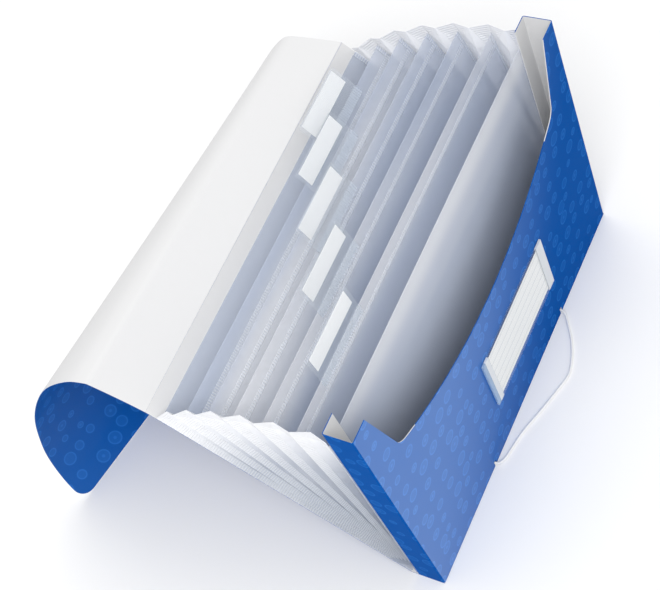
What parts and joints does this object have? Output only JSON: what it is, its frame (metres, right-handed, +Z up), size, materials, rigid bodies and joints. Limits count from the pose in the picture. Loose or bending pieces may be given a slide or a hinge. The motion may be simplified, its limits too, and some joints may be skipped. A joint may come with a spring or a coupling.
{
  "type": "expanding file folder",
  "caption": "Standing A4 expanding file with a scooped front pocket, a concertina of tabbed compartments, a hinged flap and an elastic closing cord, shown open",
  "frame": {"origin": "centre of the underside of the front pocket's bottom, on the floor", "axes": "+X along the file's length, +Y from the front pocket to the back, +Z up"},
  "size_m": [0.3626, 0.3506, 0.2412],
  "materials": {
    "cover_sheet": "blue polypropylene sheet with a low sheen",
    "film": "translucent pale blue polypropylene film",
    "gusset_film": "translucent polypropylene film, folded, with knurled weld lines",
    "clear_sleeve": "clear film",
    "card": "uncoated white card",
    "cord": "braided elastic"
  },
  "bodies": {
    "file": {"cover": "cover_sheet", "concertina_front_wall": "film", "concertina_back_wall": "film", "gusset_near": "gusset_film", "gusset_far": "gusset_film", "divider_1": "film", "divider_2": "film", "divider_3": "film", "divider_4": "film", "divider_5": "film", "tab_sleeve_1": "clear_sleeve", "tab_sleeve_2": "clear_sleeve", "tab_sleeve_3": "clear_sleeve", "tab_sleeve_4": "clear_sleeve", "tab_sleeve_5": "clear_sleeve", "tab_insert_1": "card", "tab_insert_2": "card", "tab_insert_3": "card", "tab_insert_4": "card", "tab_insert_5": "card", "label_sleeve": "clear_sleeve", "label_card": "card", "cord_knot_near": "cord", "cord_knot_far": "cord", "elastic_cord": "cord"},
    "flap": {"flap": "cover_sheet"}
  },
  "joints": [
    {"name": "flap_hinge", "type": "hinge", "parent": "file", "child": "flap", "pos_m": [0, 0.1768, 0.16971], "axis": [1, 0, 0], "range_deg": [0, 100]}
  ]
}
